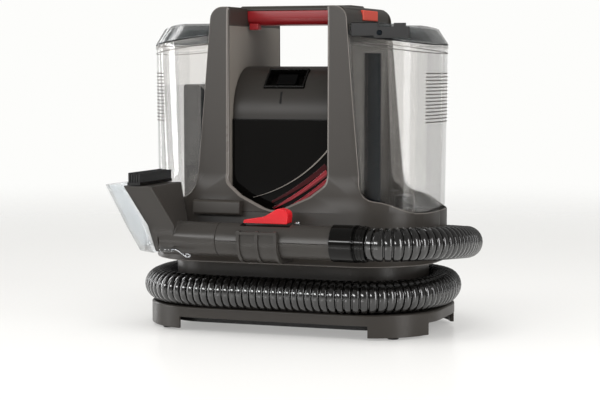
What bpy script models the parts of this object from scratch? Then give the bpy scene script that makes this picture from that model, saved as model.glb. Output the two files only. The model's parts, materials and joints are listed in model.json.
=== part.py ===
"""A portable carpet and upholstery cleaner: one Blender object for each physical piece.

Sizes are written in millimetres and become metres as each mesh is made. The machine stands on z = 0,
X runs along it (clean water tank at +X, dirty water tank at -X) and the hand tool hangs on its front at -Y.
"""

import math

import bmesh
import bpy
from mathutils import Matrix, Vector

MM = 0.001
GAP = 0.3  # clearance between neighbouring pieces

# The hand tool makes the machine deeper at the front than at the back, so the whole machine stands back
# by this much to bring the middle of its outline to the origin.
SHIFT_Y = 26.0

# Base
BASE_LENGTH, BASE_DEPTH, BASE_RADIUS = 332.0, 202.0, 78.0
BASE_TOP, BASE_WALL = 27.0, 4.0
FOOT_HEIGHT = 2.0
BASE_ARCH_HEIGHT = 15.0  # height of the cut-outs between the feet
BASE_ARCH_HALF_LENGTH, BASE_ARCH_HALF_DEPTH = 107.0, 51.0

# Neck that the hose is wound on
DRUM_LENGTH, DRUM_DEPTH, DRUM_RADIUS = 278.0, 160.0, 64.0
DRUM_WALL = 3.0

# Housing: (height, length, depth, corner radius) of the outside, from the flared bottom rim up
HOUSING_BOTTOM = 76.0
SHELL_WALL = 3.0
SHELL_SECTIONS = (
    (76.0, 321.0, 196.0, 78.5),
    (78.0, 321.0, 196.0, 78.5),
    (84.0, 316.0, 190.0, 76.0),
    (132.0, 316.0, 188.0, 75.0),
    (150.0, 314.0, 175.0, 74.0),
    (172.0, 312.0, 163.0, 73.0),
    (354.0, 310.0, 160.0, 72.0),
)
RIM_HEIGHT = 131.0
TOP_HEIGHT = 350.0
ARM_INNER, ARM_OUTER = 56.0, 76.0  # half-widths to the two faces of an arm
ARM_HALF_DEPTH = 76.2
ARM_CAP_BOTTOM = 330.0
TRAY_TOP = 127.0

# Motor pod between the arms
POD_HALF_WIDTH, POD_HALF_DEPTH, POD_TOP = 55.5, 68.0, 286.0
POD_SHOULDER_DEPTH, POD_SHOULDER_HEIGHT = 46.0, 52.0
POD_WALL = 2.5
SHOULDER, SHOULDER_TILT = (0.0, -51.5, 274.0), math.radians(44)  # middle and slope of the switch pocket
POCKET_WIDTH, POCKET_ALONG = 46.0, 28.0
SWITCH_DEPTH = -5.5
PANEL_TOP = 229.5

# Handle
HANDLE_FRONT, HANDLE_BACK = -25.0, 23.0
HANDLE_BOTTOM, HANDLE_SPLIT, HANDLE_TOP = 331.0, 347.0, 352.0
BUTTON_LOW, BUTTON_HIGH = (71.0, -20.0, 335.5), (77.0, 32.0, 346.5)  # release button at +X, in its pocket
BUTTON_TRAVEL = 4.0

# Tanks: plan of the outside
TANK_INNER, TANK_HALF_DEPTH = 77.3, 78.0
TANK_END = {1: 158.5, -1: 163.0}  # the dirty water tank, at -X, is the longer one
TANK_RADIUS, TANK_INNER_RADIUS, TANK_WALL = 60.0, 6.0, 2.5
TANK_BOTTOM = TRAY_TOP + GAP
TANK_FOOT_INSET, TANK_FOOT_END = 6.6, 154.4
TANK_RIM_INNER, TANK_RIM_END = 319.0, 308.0  # the rim slopes down away from the arm
LID_TOP = 332.0
LATCH_NEAR, LATCH_FAR = -TANK_HALF_DEPTH - 0.6, -TANK_HALF_DEPTH - 3.6  # front and back of the lid's latch
LATCH_PIVOT = (114.0, (LATCH_NEAR + LATCH_FAR) / 2, 321.0)

# Hand tool, along X in front of the housing
WAND_Y, WAND_Z, WAND_RADIUS = -124.0, 104.0, 18.0
WAND_LEFT, WAND_RIGHT = -46.7, 78.7
CUFF_END, COLLAR_END = 103.0, 116.0
TRIGGER_PIVOT = (-14.0, WAND_Y, 123.5)

# Hose
HOSE_DIAMETER = 35.0
HOSE_LOW, HOSE_HIGH = 45.2, 104.0

CORNER_STEPS = 8

# Colour, roughness, metallic and opacity of each material
FINISHES = {
    "dark_grey_abs": ("4b4743", 0.45, 0.0, 1.0),
    "inner_grey_abs": ("5d5853", 0.5, 0.0, 1.0),
    "gloss_black": ("12110f", 0.08, 0.0, 1.0),
    "black_plastic": ("1b1a19", 0.4, 0.0, 1.0),
    "red_grip": ("8f1f25", 0.35, 0.0, 1.0),
    "bright_red": ("d3222b", 0.35, 0.0, 1.0),
    "orange_red": ("d9513f", 0.4, 0.0, 1.0),
    "silver_trim": ("a9a6a1", 0.25, 0.8, 1.0),
    "smoked_clear": ("77797a", 0.06, 0.0, 0.4),
    "clear_plastic": ("dfe6ea", 0.04, 0.0, 0.3),
    "slate_plastic": ("2a3238", 0.35, 0.0, 1.0),
    "rubber": ("191818", 0.8, 0.0, 1.0),
    "bristle": ("0d0d0d", 0.7, 0.0, 1.0),
    "hose_black": ("141312", 0.2, 0.0, 1.0),
    "motor_steel": ("a8a9ab", 0.35, 1.0, 1.0),
}


def clear_scene():
    for obj in list(bpy.data.objects):
        bpy.data.objects.remove(obj, do_unlink=True)


def linear(channel):
    return channel / 12.92 if channel <= 0.04045 else ((channel + 0.055) / 1.055) ** 2.4


def make_material(name):
    hex_colour, roughness, metallic, opacity = FINISHES[name]
    material = bpy.data.materials.new(name)
    material.use_nodes = True
    shader = material.node_tree.nodes["Principled BSDF"]
    rgb = [linear(int(hex_colour[i : i + 2], 16) / 255) for i in (0, 2, 4)]
    shader.inputs["Base Color"].default_value = (*rgb, 1.0)
    shader.inputs["Roughness"].default_value = roughness
    shader.inputs["Metallic"].default_value = metallic
    shader.inputs["Alpha"].default_value = opacity
    return material


# ---------------------------------------------------------------- outlines


def fillet(corners, steps=CORNER_STEPS):
    """A closed outline with each (a, b, radius) corner rounded; steps is the facets in a right angle."""
    points = []
    for i, (a, b, radius) in enumerate(corners):
        here = Vector((a, b))
        before = (Vector(corners[i - 1][:2]) - here).normalized()
        after = (Vector(corners[(i + 1) % len(corners)][:2]) - here).normalized()
        turn = math.pi - before.angle(after)
        if radius <= 0 or turn < 1e-4:
            points.append((a, b))
            continue
        along = radius * math.tan(turn / 2)
        middle = here + (before + after).normalized() * (radius / math.cos(turn / 2))
        start = here + before * along - middle
        way = 1 if before.cross(after) < 0 else -1
        count = max(1, round(steps * turn / (math.pi / 2)))
        for step in range(count + 1):
            angle = way * turn * step / count
            spoke = Matrix.Rotation(angle, 2) @ start
            points.append(tuple(middle + spoke))
    return points


def rounded_rectangle(length, depth, radius, steps=CORNER_STEPS):
    x, y = length / 2, depth / 2
    return fillet([(x, -y, radius), (x, y, radius), (-x, y, radius), (-x, -y, radius)], steps)


def tank_outline(inset=0.0, end_inset=0.0, side=1, steps=CORNER_STEPS):
    """Plan of a tank: square towards the arm and round at the end of the machine."""
    inner, end = TANK_INNER + inset, TANK_END[side] - inset - end_inset
    y = TANK_HALF_DEPTH - inset
    radius = TANK_RADIUS - inset - end_inset / 2
    near = max(TANK_INNER_RADIUS - inset, 1.0)
    corners = [(inner, -y, near), (end, -y, radius), (end, y, radius), (inner, y, near)]
    outline = fillet(corners, steps)
    return outline if side > 0 else [(-x, y) for x, y in reversed(outline)]


# ---------------------------------------------------------------- solids


def loft(rings, ends="caps"):
    """A solid through rings of 3-D points. ends is caps, or loop to join the last ring to the first."""
    bm = bmesh.new()
    loops = [[bm.verts.new(point) for point in ring] for ring in rings]
    pairs = list(zip(loops, loops[1:]))
    if ends == "loop":
        pairs.append((loops[-1], loops[0]))
    for low, high in pairs:
        for i in range(len(low)):
            j = (i + 1) % len(low)
            bm.faces.new((low[i], low[j], high[j], high[i]))
    if ends == "caps":
        bm.faces.new(reversed(loops[0]))
        bm.faces.new(loops[-1])
    return bm


def at_height(outline, z):
    return [(x, y, z) for x, y in outline]


def prism(outline, low, high, axis="Z"):
    """Extrude an outline: (x, y) along Z, (x, z) along Y or (y, z) along X."""
    place = {
        "X": lambda a, b, c: (c, a, b),
        "Y": lambda a, b, c: (a, c, b),
        "Z": lambda a, b, c: (a, b, c),
    }[axis]
    return loft([[place(a, b, c) for a, b in outline] for c in (low, high)])


def block(low, high, bevel=0.0, segments=2):
    size = [b - a for a, b in zip(low, high)]
    middle = [(a + b) / 2 for a, b in zip(low, high)]
    place = Matrix.Translation(middle) @ Matrix.Diagonal((*size, 1.0))
    bm = bmesh.new()
    bmesh.ops.create_cube(bm, size=1.0, matrix=place)
    if bevel:
        edges = bm.edges[:]
        bmesh.ops.bevel(bm, geom=edges, offset=bevel, segments=segments, profile=0.5, affect="EDGES")
    return bm


def turned(profile, middle, axis="Z", steps=32):
    """Turn (radius, along) points about an axis. A profile that starts and ends on the axis is solid."""
    solid = profile[0][0] == 0
    inner = profile[1:-1] if solid else profile
    rings = []
    for radius, along in inner:
        rings.append([(radius * math.cos(t), radius * math.sin(t), along) for t in turns(steps)])
    bm = loft(rings, "caps" if solid else "loop")
    tilt = {
        "X": Matrix.Rotation(math.pi / 2, 4, "Y"),
        "Y": Matrix.Rotation(-math.pi / 2, 4, "X"),
        "Z": Matrix.Identity(4),
    }[axis]
    bmesh.ops.transform(bm, matrix=Matrix.Translation(middle) @ tilt, verts=bm.verts)
    return bm


def turns(steps):
    return [2 * math.pi * i / steps for i in range(steps)]


def rod(middle, radius, low, high, axis="Z", steps=24, chamfer=0.0):
    """A cylinder with chamfered ends, from low to high along an axis through middle."""
    ends = [(0, low), (radius - chamfer, low), (radius, low + chamfer)]
    ends += [(radius, high - chamfer), (radius - chamfer, high), (0, high)]
    if not chamfer:
        ends = [(0, low), (radius, low), (radius, high), (0, high)]
    return turned(ends, middle, axis, steps)


# ---------------------------------------------------------------- objects


def add(name, bm, finish, pivot=(0.0, 0.0, 0.0)):
    """Make an object from a solid in machine millimetres, with its origin at pivot."""
    bmesh.ops.remove_doubles(bm, verts=bm.verts, dist=1e-4)
    bmesh.ops.recalc_face_normals(bm, faces=bm.faces)
    bmesh.ops.translate(bm, verts=bm.verts, vec=-Vector(pivot))
    bmesh.ops.scale(bm, verts=bm.verts, vec=(MM, MM, MM))
    mesh = bpy.data.meshes.new(name)
    bm.to_mesh(mesh)
    bm.free()
    mesh.materials.append(materials[finish])
    mesh.shade_smooth()
    mesh.set_sharp_from_angle(angle=math.radians(35))
    obj = bpy.data.objects.new(name, mesh)
    bpy.context.scene.collection.objects.link(obj)
    obj.parent = machine
    obj.location = Vector(pivot) * MM
    return obj


def helper(name, bm):
    """A solid that only cuts or joins, left out of the finished machine."""
    obj = add(name, bm, "dark_grey_abs")
    obj.hide_render = True
    obj.display_type = "WIRE"
    return obj


def boolean(obj, bm, operation="DIFFERENCE"):
    other = helper(f"{obj.name}_{operation.lower()}_{len(obj.modifiers)}", bm)
    modifier = obj.modifiers.new(operation.title(), "BOOLEAN")
    modifier.operation = operation
    modifier.solver = "EXACT"
    modifier.object = other


# ---------------------------------------------------------------- base


def build_base():
    outline = rounded_rectangle(BASE_LENGTH, BASE_DEPTH, BASE_RADIUS)
    top = rounded_rectangle(BASE_LENGTH - 3, BASE_DEPTH - 3, BASE_RADIUS - 1.5)
    wall = BASE_WALL
    inside = rounded_rectangle(BASE_LENGTH - 2 * wall, BASE_DEPTH - 2 * wall, BASE_RADIUS - wall)
    foot_top = FOOT_HEIGHT + GAP
    base = add(
        "base_tray",
        loft(
            [
                at_height(outline, foot_top),
                at_height(outline, BASE_TOP - 1.5),
                at_height(top, BASE_TOP),
            ]
        ),
        "dark_grey_abs",
    )
    boolean(base, prism(inside, -5, BASE_TOP - 3))
    x, y = BASE_ARCH_HALF_LENGTH, BASE_ARCH_HALF_DEPTH
    boolean(base, block((-x, -BASE_DEPTH, -5), (x, BASE_DEPTH, BASE_ARCH_HEIGHT)))
    boolean(base, block((-BASE_LENGTH, -y, -5), (BASE_LENGTH, y, BASE_ARCH_HEIGHT)))

    pan = rounded_rectangle(BASE_LENGTH - 36, BASE_DEPTH - 36, BASE_RADIUS - 18)
    pan_inside = rounded_rectangle(BASE_LENGTH - 42, BASE_DEPTH - 42, BASE_RADIUS - 21)
    pan_low, pan_high = 8.0, BASE_TOP - 3 - GAP
    rings = [(pan, pan_low), (pan, pan_high), (pan_inside, pan_high), (pan_inside, pan_low + 2.5)]
    add("bottom_cover", loft([at_height(ring, z) for ring, z in rings]), "black_plastic")

    for name, x, y in (
        ("front_left", -1, -1),
        ("front_right", 1, -1),
        ("rear_left", -1, 1),
        ("rear_right", 1, 1),
    ):
        middle = (x * 129.0, y * 77.5, 0.0)
        add(f"foot_{name}", rod(middle, 6.0, 0.0, FOOT_HEIGHT, steps=20, chamfer=0.5), "rubber")
        # The rubber foot stands under a corner boss, which the tray's wall joins.
        boolean(base, rod(middle, 7.8, foot_top, BASE_TOP - 2, steps=20), "UNION")
        screw = (x * 100.0, y * 50.0, 0.0)
        head = rod(screw, 4.0, pan_low - 2.5, pan_low - GAP, steps=16, chamfer=0.5)
        add(f"base_screw_{name}", head, "motor_steel")


def build_drum():
    outer = rounded_rectangle(DRUM_LENGTH, DRUM_DEPTH, DRUM_RADIUS)
    wall = DRUM_WALL
    inner = rounded_rectangle(DRUM_LENGTH - 2 * wall, DRUM_DEPTH - 2 * wall, DRUM_RADIUS - wall)
    low, high = BASE_TOP + GAP, HOUSING_BOTTOM - GAP
    rings = [(outer, low), (outer, high), (inner, high), (inner, low)]
    add("hose_drum", loft([at_height(ring, z) for ring, z in rings], "loop"), "dark_grey_abs")

    # The port stands on the back of the neck and points the hose along +X.
    low_x, high_x = 22.0, 60.0
    back = DRUM_DEPTH / 2 + GAP
    profile = fillet([(back, 27.5, 2), (back + 36, 27.5, 12), (back + 36, 63, 12), (back, 63, 2)], 4)
    add("hose_port", prism(profile, low_x, high_x, "X"), "dark_grey_abs")


# ---------------------------------------------------------------- housing


def shell_solid():
    def ring(section, wall):
        z, length, depth, radius = section
        return at_height(rounded_rectangle(length - 2 * wall, depth - 2 * wall, radius - wall), z)

    outer = [ring(section, 0.0) for section in SHELL_SECTIONS]
    inner = [ring(section, SHELL_WALL) for section in reversed(SHELL_SECTIONS)]
    return loft(outer + inner, "loop")


def shell_silhouette():
    """Front view of a shell half: the low housing, a pillar on each side and the window between them."""
    right = [
        (175, HOUSING_BOTTOM - 5, 0),
        (175, RIM_HEIGHT, 0),
        (146, RIM_HEIGHT, 30),
        (121, 143, 30),
        (94, 147, 18),
        (85, 246, 200),
        (76.5, TOP_HEIGHT, 14),
        (ARM_INNER, TOP_HEIGHT, 2),
        (ARM_INNER, 162, 12),
        (38, 148, 10),
        (0, 131, 25),
    ]
    left = [(-x, z, radius) for x, z, radius in reversed(right[:-1])]
    return fillet(right + left, 6)


def build_shells():
    outline = shell_silhouette()
    for name, low, high in (("front_shell", -130, -GAP / 2), ("rear_shell", GAP / 2, 130)):
        shell = add(name, shell_solid(), "dark_grey_abs")
        boolean(shell, prism(outline, low, high, "Y"), "INTERSECT")


def build_floor_and_trays():
    floor = rounded_rectangle(307, 181, 71)
    add("housing_floor", prism(floor, HOUSING_BOTTOM + 5, HOUSING_BOTTOM + 8), "black_plastic")
    for name, side in (("tank_tray_left", -1), ("tank_tray_right", 1)):
        x, end, y = ARM_OUTER + 0.6, 154.5, 89.5
        tray = fillet([(x, -y, 1), (end, -y, 70), (end, y, 70), (x, y, 1)])
        if side < 0:
            tray = [(-a, b) for a, b in reversed(tray)]
        add(name, prism(tray, TRAY_TOP - 3, TRAY_TOP), "black_plastic")


def build_arms():
    inner, outer, wall = ARM_INNER, ARM_OUTER, 2.5
    top, low = ARM_CAP_BOTTOM - GAP, 100.0
    channel = [
        (inner, low),
        (inner + wall, low),
        (inner + wall, top - wall),
        (outer - wall, top - wall),
        (outer - wall, low),
        (outer, low),
        (outer, top),
        (inner, top),
    ]
    for name, side in (("arm_left", -1), ("arm_right", 1)):
        outline = [(side * x, z) for x, z in channel]
        add(name, prism(outline, -ARM_HALF_DEPTH, ARM_HALF_DEPTH, "Y"), "inner_grey_abs")


def button_box(side, deeper=0.0, clearance=0.0):
    """Corners of a release button or, with room round it and behind it, of its pocket."""
    x = sorted((side * (BUTTON_LOW[0] - deeper), side * (BUTTON_HIGH[0] + deeper)))
    low = (x[0], BUTTON_LOW[1] - clearance, BUTTON_LOW[2] - clearance)
    high = (x[1], BUTTON_HIGH[1] + clearance, BUTTON_HIGH[2] + clearance)
    return low, high


def build_handle():
    """The carry handle: a cap on each arm with a bar between them, and the grip under the bar."""
    y, low, high = ARM_HALF_DEPTH, ARM_CAP_BOTTOM, TOP_HEIGHT
    front, back, split, top = HANDLE_FRONT, HANDLE_BACK, HANDLE_SPLIT, HANDLE_TOP
    bar = fillet([(front, split, 0.5), (back, split, 0.5), (back, top, 4), (front, top, 4)], 4)
    handle = add("carry_handle", prism(bar, -64, 64, "X"), "dark_grey_abs")
    for side in (-1, 1):
        near, far = ARM_INNER, ARM_OUTER
        cap = fillet([(near, low, 0.5), (far, low, 0.5), (far, high, 10), (near, high, 1)], 4)
        outline = [(side * a, b) for a, b in (cap if side > 0 else reversed(cap))]
        boolean(handle, prism(outline, -y, y, "Y"), "UNION")
        boolean(handle, block(*button_box(side, BUTTON_TRAVEL, GAP)))
    under = split - GAP
    grip = fillet(
        [(front, under, 0.5), (front, HANDLE_BOTTOM, 9), (back, HANDLE_BOTTOM, 9), (back, under, 0.5)],
        5,
    )
    add("handle_grip", prism(grip, -ARM_INNER + GAP, ARM_INNER - GAP, "X"), "red_grip")
    for name, side in (("release_button_left", -1), ("release_button_right", 1)):
        low, high = button_box(side)
        add(name, block(low, high, bevel=0.8, segments=1), "orange_red", pivot=(side * ARM_OUTER, 6, 341))


# ---------------------------------------------------------------- motor pod


def pod_profile(inset):
    """(y, z) outline of the pod's hood, from the front foot over the rounded shoulders to the back foot."""
    y, top = POD_HALF_DEPTH - inset, POD_TOP - inset
    depth, height = POD_SHOULDER_DEPTH, POD_SHOULDER_HEIGHT
    front = [(-y, 128.0)]
    for step in range(9):
        angle = math.pi / 2 * step / 8
        front.append((-y + depth * (1 - math.cos(angle)), top - height * (1 - math.sin(angle))))
    return front + [(-a, b) for a, b in reversed(front)]


def shoulder_box(width, along, low, high):
    """A box square to the pod's front shoulder, where the switch sits."""
    tilt = Matrix.Translation(SHOULDER) @ Matrix.Rotation(SHOULDER_TILT, 4, "X")
    bm = block((-width / 2, -along / 2, low), (width / 2, along / 2, high))
    bmesh.ops.transform(bm, matrix=tilt, verts=bm.verts)
    return bm


def build_pod():
    walls = pod_profile(0.0) + list(reversed(pod_profile(POD_WALL)))
    cover = add("pod_cover", prism(walls, -POD_HALF_WIDTH, POD_HALF_WIDTH, "X"), "dark_grey_abs")
    width, along = POCKET_WIDTH, POCKET_ALONG
    boolean(cover, shoulder_box(width + 2 * GAP, along + 2 * GAP, -20, 20))

    pocket = add("switch_pocket", shoulder_box(width, along, -13, 0.5), "gloss_black")
    boolean(pocket, shoulder_box(width - 4, along - 4, -11, 10))

    x, y, thick = POD_HALF_WIDTH, -POD_HALF_DEPTH - GAP, 2.5
    panel = block((-x, y - thick, 128.5), (x, y, PANEL_TOP), bevel=0.6, segments=1)
    add("pod_front_panel", panel, "gloss_black")
    front = y - thick - GAP
    add("silver_trim", trim((-31, 145), (20, 158), (54, 197), 0.8, front), "silver_trim")
    add("red_trim", trim((-8, 134), (25, 150), (54, 174), 3.2, front), "bright_red")

    plate = block((-42, -y, 150), (42, -y + thick, 214), bevel=0.6, segments=1)
    grille = add("exhaust_grille", plate, "black_plastic")
    slots, pitch, slot_height = 8, 7, 3
    for row in range(slots):
        z = 156 + row * pitch
        boolean(grille, block((-36, -y - 5, z), (36, -y + 8, z + slot_height)))


def trim(start, bend, end, half_width, y):
    """A thin curved strip on the front panel, through three (x, z) points."""
    count = 12
    upper, lower = [], []
    for step in range(count + 1):
        t = step / count
        point = Vector(start) * (1 - t) ** 2 + 2 * t * (1 - t) * Vector(bend) + Vector(end) * t * t
        way = (Vector(bend) - Vector(start)) * (1 - t) + (Vector(end) - Vector(bend)) * t
        side = Vector((-way.y, way.x)).normalized() * half_width * (0.35 + 0.65 * t)
        upper.append(tuple(point + side))
        lower.append(tuple(point - side))
    return prism(upper + list(reversed(lower)), y - 1.0, y, "Y")


def build_switch():
    """A rocker in the pocket's floor, turning about a pin along X."""
    tilt = Matrix.Rotation(SHOULDER_TILT, 4, "X")
    pivot = Vector(SHOULDER) + tilt @ Vector((0, 0, SWITCH_DEPTH))
    half = [(0, 2, 12), (7.5, 3.5, 1), (8, 0.5, 0.5), (7, -3, 0.5)]
    rocker = fillet([(-a, b, r) for a, b, r in reversed(half[1:])] + half, 3)
    bm = prism(rocker, -11, 11, "X")
    bmesh.ops.transform(bm, matrix=Matrix.Translation(pivot) @ tilt, verts=bm.verts)
    add("power_switch", bm, "black_plastic", pivot=pivot)


def build_motor():
    middle = (0.0, 0.0, 0.0)
    add("suction_motor", rod(middle, 40.0, 132, 205, steps=28, chamfer=4), "motor_steel")
    housing = [(7, 207), (48, 207), (48, 244), (45.5, 244), (45.5, 209.5), (7, 209.5)]
    add("fan_housing", turned(housing, middle, steps=28), "black_plastic")
    cover = [(15, 244 + GAP), (48, 244 + GAP), (48, 247), (15, 247)]
    add("fan_cover", turned(cover, middle, steps=28), "black_plastic")
    fan = add("fan_impeller", rod(middle, 42.0, 216, 219, steps=28), "motor_steel")
    boolean(fan, rod(middle, 4.0, 205 + GAP, 236, steps=12), "UNION")
    for blade in range(6):
        turn = Matrix.Rotation(blade * math.pi / 3, 4, "Z")
        bm = block((3, -0.8, 218), (40, 0.8, 234))
        bmesh.ops.transform(bm, matrix=turn, verts=bm.verts)
        boolean(fan, bm, "UNION")
    body = block((-132, -18, 85), (-92, 18, 113), bevel=2, segments=1)
    pump = add("water_pump", body, "black_plastic")
    boolean(pump, rod((0, 0, 98.5), 9.0, -95, -80, axis="X", steps=20), "UNION")


def build_rear_fittings():
    wall_back = 95.3
    gland = [(0, 0), (9, 0), (9, 4), (6.5, 6), (5.5, 20), (0, 20)]
    add("cord_gland", turned(gland, (-70.0, wall_back, 96.0), "Y", 20), "rubber")


# ---------------------------------------------------------------- tanks


def rim_height(x):
    """Height of a tank's rim, which falls from the arm to the end of the machine."""
    share = (abs(x) - TANK_INNER) / (TANK_END[1] - TANK_INNER)
    return TANK_RIM_INNER + (TANK_RIM_END - TANK_RIM_INNER) * share


def on_rim(outline, lift=0.0):
    return [(x, y, rim_height(x) + lift) for x, y in outline]


def tank_solid(side):
    """An open cup whose walls lean in towards the floor, with a narrow foot inside the housing's rim."""
    short = TANK_END[side] - TANK_FOOT_INSET - TANK_FOOT_END
    foot = tank_outline(TANK_FOOT_INSET, short, side)
    step = tank_outline(2.0, 0.0, side)
    wall = tank_outline(0.0, 0.0, side)
    inside = tank_outline(TANK_WALL, 0.0, side)
    inside_foot = tank_outline(TANK_FOOT_INSET + TANK_WALL, short, side)
    return loft(
        [
            at_height(foot, TANK_BOTTOM),
            at_height(foot, RIM_HEIGHT + 2),
            at_height(step, RIM_HEIGHT + 4),
            on_rim(wall),
            on_rim(inside),
            at_height(inside_foot, TANK_BOTTOM + 3),
        ]
    )


def lid_height(x):
    """The lid's top is level over the tank and falls a little near the end."""
    return LID_TOP - 7.0 * max(0.0, (abs(x) - 110.0) / 40.0) ** 1.5


def add_lid(name, side):
    """Rings run from the inner foot, over the outside, across the top, and back down the inside."""
    wall = 2.2
    foot, foot_inside = tank_outline(0.0, 0.0, side), tank_outline(wall, 0.0, side)
    top, top_inside = tank_outline(3.0, 8.0, side), tank_outline(3.0 + wall, 8.0, side)
    outer = add(
        name,
        loft([on_rim(foot, GAP), on_rim(foot, 3.0), [(x, y, lid_height(x)) for x, y in top]]),
        "smoked_clear",
    )
    ceiling = [(x, y, lid_height(x) - wall) for x, y in top_inside]
    boolean(outer, loft([on_rim(foot_inside, -5.0), on_rim(foot_inside, 3.0), ceiling]))
    return outer


def build_clean_tank():
    add("clean_tank", tank_solid(1), "clear_plastic")
    add_lid("clean_tank_lid", 1)
    floor = TANK_BOTTOM + 3 + GAP
    valve = rod((112.0, 20.0, 0.0), 11.0, floor, floor + 14, steps=20, chamfer=1.5)
    add("clean_tank_valve", valve, "black_plastic")
    add("pickup_tube", rod((96.5, -48.0, 0.0), 9.0, floor, 300, steps=20), "slate_plastic")

    # The latch on the front holds the lid down: a thumb pad and a bar that turn on a pin along Y.
    near, far = LATCH_NEAR, LATCH_FAR
    pad = block((83, far, 317), (113, near, 332), bevel=0.8, segments=1)
    latch = add("lid_latch", pad, "black_plastic", LATCH_PIVOT)
    boolean(latch, block((108, far, 315.5), (146, near, 327)), "UNION")
    boolean(latch, block((129.5, far, 326), (142, near, 331)), "UNION")
    pin_middle, pin_radius = (LATCH_PIVOT[0], 0.0, LATCH_PIVOT[2]), 2.6
    boolean(latch, rod(pin_middle, pin_radius + GAP, far - 5, near + 5, axis="Y", steps=20))
    pin = rod(pin_middle, pin_radius, far - 1.5, near + 0.8, axis="Y", steps=20, chamfer=0.4)
    add("latch_pin", pin, "motor_steel")


def build_dirty_tank():
    add("dirty_tank", tank_solid(-1), "clear_plastic")
    add_lid("dirty_tank_lid", -1)
    floor = TANK_BOTTOM + 3 + GAP
    duct = fillet([(-136, floor, 0), (-108, floor, 0), (-108, 266, 12), (-136, 266, 3)], 6)
    add("standpipe", prism(duct, -18, 18, "Y"), "slate_plastic")
    middle = (-112.0, 44.0, 0.0)
    add("float_guide", rod(middle, 3.0, floor, 262, steps=12), "slate_plastic")
    low, high = floor + GAP, floor + GAP + 26
    cup = [(3.6, low), (12, low), (12, high), (3.6, high)]
    add("float", turned(cup, middle, steps=20), "slate_plastic", pivot=middle)


# ---------------------------------------------------------------- hand tool


def half_tube(radius, inner, upper):
    """(y, z) outline of the upper or lower half of the wand's tube."""
    sign = 1 if upper else -1
    gap = GAP / 2
    outline = []
    for r, way in ((radius, 1), (inner, -1)):
        low = math.asin(gap / r)
        span = math.pi - 2 * low
        arc = []
        for step in range(11):
            angle = low + span * step / 10
            arc.append((WAND_Y + r * math.cos(angle), WAND_Z + sign * r * math.sin(angle)))
        outline += arc[::way]
    return outline


def build_wand():
    lower = half_tube(WAND_RADIUS, WAND_RADIUS - 3, False)
    upper = half_tube(WAND_RADIUS, WAND_RADIUS - 3, True)
    add("wand_lower_shell", prism(lower, WAND_LEFT, WAND_RIGHT, "X"), "dark_grey_abs")
    top = add("wand_upper_shell", prism(upper, WAND_LEFT, WAND_RIGHT, "X"), "dark_grey_abs")
    boolean(top, block((-22, WAND_Y - 8.5, 108), (33, WAND_Y + 8.5, 130)))
    tube = [(10, -44), (12, -44), (12, 76), (10, 76)]
    add("wand_air_tube", turned(tube, (0.0, WAND_Y, WAND_Z), "X", 20), "black_plastic")

    centre = (0.0, WAND_Y, WAND_Z)
    cuff = [(14, WAND_RIGHT + GAP), (19.5, WAND_RIGHT + GAP), (19.5, CUFF_END), (14, CUFF_END)]
    add("wand_cuff", turned(cuff, centre, "X", 28), "gloss_black")
    collar = [(13, CUFF_END + GAP), (18.5, CUFF_END + GAP), (18.5, COLLAR_END), (13, COLLAR_END)]
    add("hose_collar", turned(collar, centre, "X", 28), "gloss_black")
    add("wand_screw", rod((39.0, WAND_Y, 0.0), 3.0, 122.6, 125, steps=12), "motor_steel")

    wedge = fillet(
        [(-19, 122.6, 0.5), (30, 122.6, 2), (31, 136, 6), (20, 139, 6), (4, 129.5, 12), (-18, 126, 1.2)],
        5,
    )
    add("trigger", prism(wedge, WAND_Y - 7.5, WAND_Y + 7.5, "Y"), "bright_red", pivot=TRIGGER_PIVOT)


def build_nozzle():
    """The tool's neck pushes on the wand, and widens up and forward into a flat mouth with a brush."""
    y = WAND_Y
    neck_inside = 14.0

    def section(z, back, front, half):
        """A level rectangle of the head, from its back to its front and half its width to each side."""
        return [(back, y - half, z), (back, y + half, z), (front, y + half, z), (front, y - half, z)]

    head = loft(
        [
            section(90, -96, -116, 16),
            section(118, -93, -124, 19),
            section(161, -110, -142, 40.5),
        ]
    )
    nozzle = add("nozzle_body", head, "dark_grey_abs")
    inside = [section(96, -99, -113, 12), section(118, -96.5, -121, 16), section(156, -111, -136.5, 34)]
    hollow = loft(inside)
    boolean(nozzle, rod((0, y, WAND_Z), WAND_RADIUS, -112, WAND_LEFT - GAP, axis="X", steps=24), "UNION")
    boolean(nozzle, hollow)
    boolean(nozzle, rod((0, y, WAND_Z), neck_inside, -108, 0, axis="X", steps=20))

    cover = loft(
        [
            section(88.5, -117, -119.5, 16),
            section(91, -117.5, -132, 20),
            section(118, -124.8, -145, 27),
            section(162, -142.8, -161.4, 42),
        ]
    )
    clear = add("nozzle_cover", cover, "clear_plastic")
    inside = [section(96, -116, -131, 17), section(118, -120, -142.5, 24.5), section(167, -137, -161, 40)]
    boolean(clear, loft(inside))

    brush = block((-136.5, y - 41, 161.4), (-121.5, y + 41, 175), bevel=0.5, segments=1)
    add("nozzle_brush", brush, "bristle")


def build_holders():
    """The hook that the hand tool lies in, and the rest behind it."""
    inner, outer = WAND_RADIUS + 0.8, WAND_RADIUS + 3.8
    hook = [(-96.2, WAND_Z - inner)]
    arc = [math.pi * 1.5 - math.pi / 2 * step / 8 for step in range(9)]
    hook += [(WAND_Y + inner * math.cos(a), WAND_Z + inner * math.sin(a)) for a in arc]
    hook += [(WAND_Y - inner, 114), (WAND_Y - outer, 114)]
    hook += [(WAND_Y + outer * math.cos(a), WAND_Z + outer * math.sin(a)) for a in reversed(arc)]
    hook += [(-96.2, WAND_Z - outer)]
    add("wand_hook", prism(hook, -21, 24, "X"), "dark_grey_abs")
    low, bend, high = 127.5, 131, 143.5
    rest = [(-95.6, low, 1), (-95.6, bend, 1), (-92, high, 1), (-104, high, 3), (-105, low, 3)]
    add("wand_rest", prism(fillet(rest, 3), -88, -34, "X"), "dark_grey_abs")


# ---------------------------------------------------------------- hose

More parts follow.
